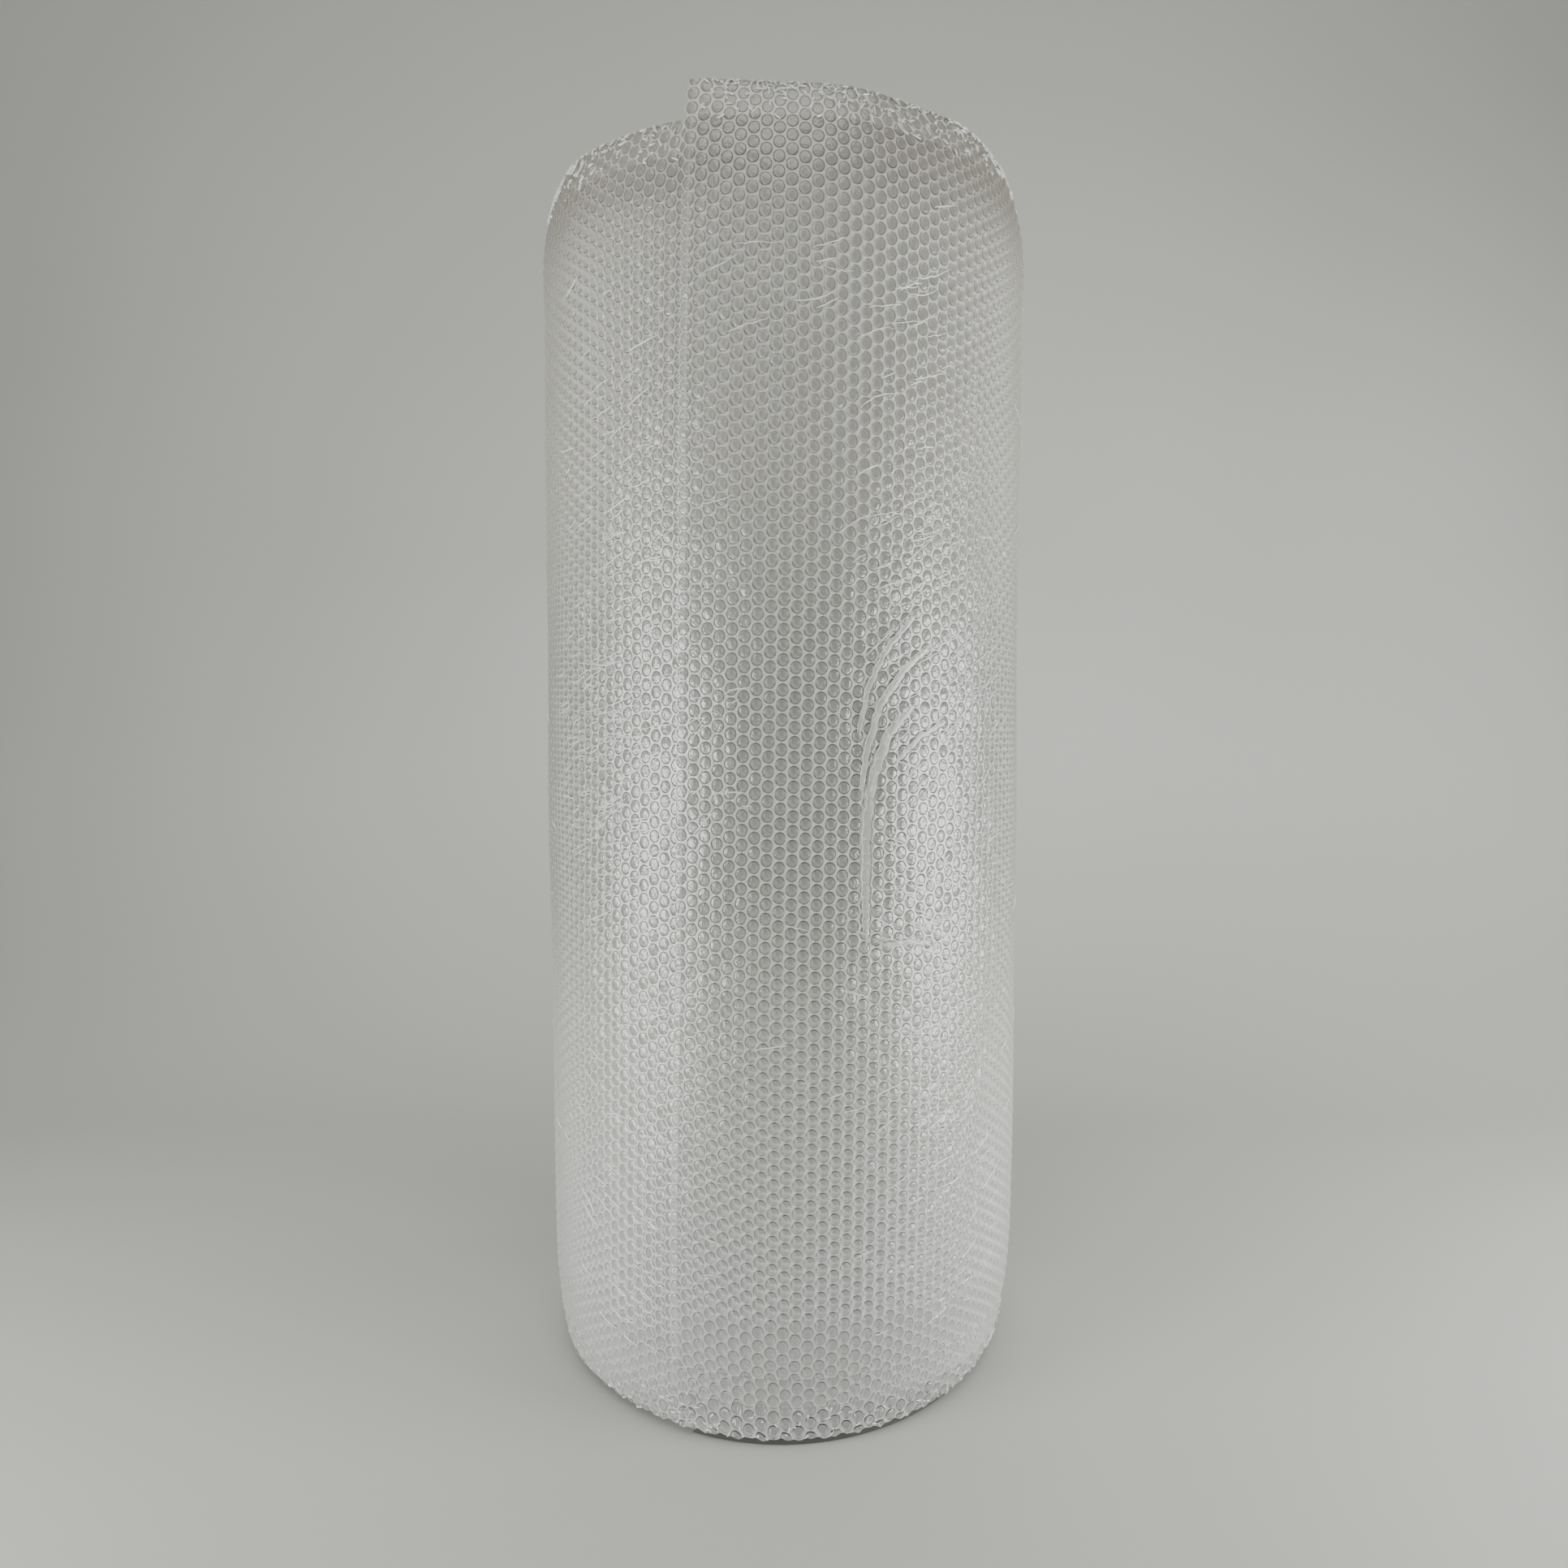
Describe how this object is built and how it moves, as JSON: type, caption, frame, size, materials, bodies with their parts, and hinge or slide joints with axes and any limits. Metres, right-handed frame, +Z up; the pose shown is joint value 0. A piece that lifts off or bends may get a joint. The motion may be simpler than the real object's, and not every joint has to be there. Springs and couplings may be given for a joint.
{
  "type": "bubble film roll",
  "caption": "Cylindrical roll of clear small-bubble cushioning film standing on end, its loose outer turns riding up past the wound body to a free vertical edge.",
  "frame": {"origin": "centre of the winding hole, in the plane of the roll's lower end", "axes": "+Z up along the winding axis; -Y is the side with the sheet's free vertical edge, which lies a little towards -X"},
  "size_m": [0.4376, 0.4405, 1.0593],
  "materials": {
    "clear_bubble_film": "clear polyethylene film, smooth and glossy outside with round air bubbles facing inward; many turns together look pale milky grey"
  },
  "bodies": {
    "root": {"bubble_film_roll": "clear_bubble_film"}
  },
  "joints": []
}
